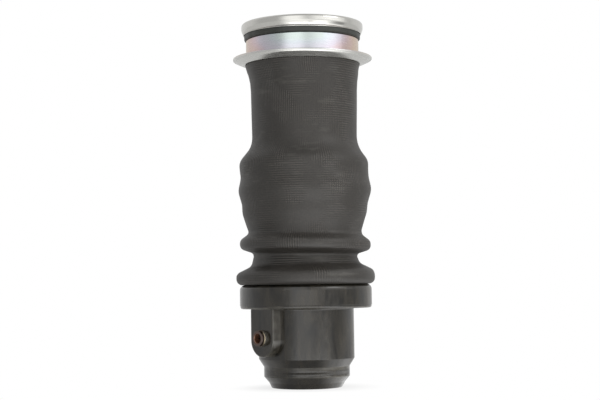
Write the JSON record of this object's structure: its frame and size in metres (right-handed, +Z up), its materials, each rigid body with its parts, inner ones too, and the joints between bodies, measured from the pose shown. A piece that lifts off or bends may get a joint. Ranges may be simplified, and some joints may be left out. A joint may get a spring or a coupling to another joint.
{
  "type": "cab suspension bellows",
  "caption": "Folded rubber air bellows with a plated, flanged top ring, a clamped plastic base that slides on a damper tube, and a push-in air port.",
  "frame": {"origin": "centre of the nose's lower face, on the axis of the bellows", "axes": "+Z up the axis towards the rolled bead; -Y out of the air port"},
  "size_m": [0.093, 0.093, 0.2425],
  "materials": {
    "base_plastic": "glass-filled nylon, satin black",
    "collar_plastic": "glass-filled nylon, satin black",
    "bellows_rubber": "black rubber with a fine fabric print",
    "seal_rubber": "smooth black nitrile rubber",
    "spacer_plastic": "natural acetal",
    "bush_plastic": "filled PTFE",
    "spring_steel": "bright steel",
    "port_brass": "turned brass",
    "collet_brass": "tarnished brass",
    "bead_zinc": "bright zinc plate",
    "collar_zinc": "iridescent zinc passivate"
  },
  "bodies": {
    "base": {"base": "base_plastic", "clamp_collar": "collar_plastic", "crimp_ring": "spring_steel", "bellows": "bellows_rubber", "wiper_seal": "seal_rubber", "lower_o_ring": "seal_rubber", "seal_spacer": "spacer_plastic", "upper_o_ring": "seal_rubber", "guide_bush": "bush_plastic", "backup_washer": "spring_steel", "pack_retainer": "spring_steel", "port_body": "port_brass", "port_body_seal": "seal_rubber", "port_tube_seal": "seal_rubber", "port_seal_spacer": "spacer_plastic", "port_grab_ring": "spring_steel"},
    "collet": {"port_collet": "collet_brass"},
    "top": {"bead_ring": "bead_zinc", "bead_seal": "seal_rubber", "outer_collar": "collar_zinc"}
  },
  "joints": [
    {"name": "stroke", "type": "slide", "parent": "base", "child": "top", "axis": [0, 0, 1], "range_m": [-0.04, 0.03], "stiffness_N_per_m": 3500, "springref_m": 0.0005, "deforming": ["bellows"]},
    {"name": "collet_release", "type": "slide", "parent": "base", "child": "collet", "axis": [0, 1, 0], "range_m": [0, 0.0012], "stiffness_N_per_m": 400}
  ]
}
